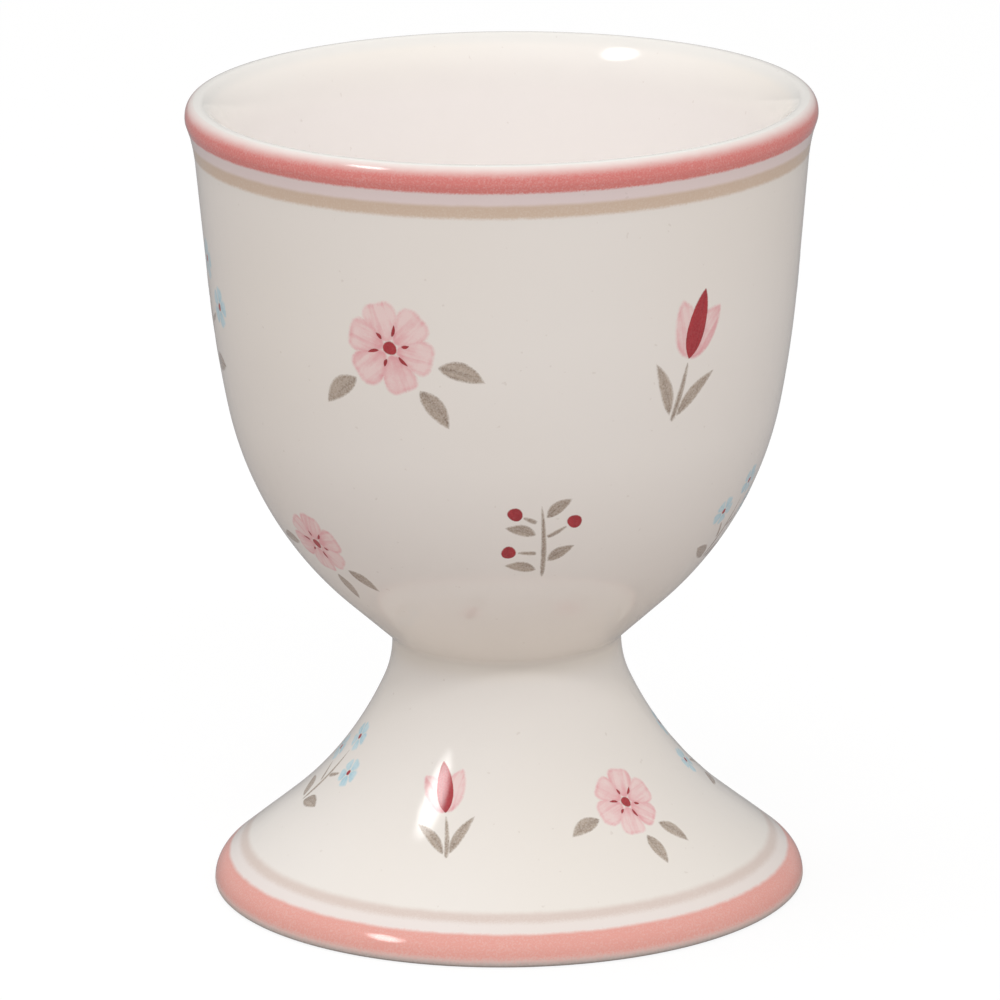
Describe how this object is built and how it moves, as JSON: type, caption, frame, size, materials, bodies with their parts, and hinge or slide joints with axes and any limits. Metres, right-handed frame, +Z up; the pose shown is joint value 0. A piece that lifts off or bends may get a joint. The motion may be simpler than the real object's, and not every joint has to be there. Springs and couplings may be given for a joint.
{
  "type": "egg cup",
  "caption": "Footed ceramic egg cup: a round bowl luted to a hollow flared foot, with enamel bands at lip and foot and a scattered flower print.",
  "frame": {"origin": "on the table, under the centre of the foot", "axes": "+Z up along the cup's axis, out of its mouth; the front faces -Y"},
  "size_m": [0.0506, 0.0506, 0.065],
  "materials": {
    "glazed_clay": "glossy glaze",
    "glazed_slip": "glossy glaze",
    "pink_enamel": "glossy fired enamel",
    "taupe_enamel": "glossy fired enamel",
    "petal_enamel": "glossy fired enamel",
    "red_enamel": "glossy fired enamel",
    "blue_enamel": "glossy fired enamel",
    "leaf_enamel": "glossy fired enamel"
  },
  "bodies": {
    "root": {"bowl": "glazed_clay", "foot": "glazed_clay", "slip_joint": "glazed_slip", "rim_band": "pink_enamel", "rim_line": "taupe_enamel", "foot_band": "pink_enamel", "foot_line": "taupe_enamel", "bowl_pink_petals": "petal_enamel", "bowl_red_centres": "red_enamel", "bowl_blue_petals": "blue_enamel", "bowl_taupe_leaves": "leaf_enamel", "foot_pink_petals": "petal_enamel", "foot_red_centres": "red_enamel", "foot_blue_petals": "blue_enamel", "foot_taupe_leaves": "leaf_enamel"}
  },
  "joints": []
}
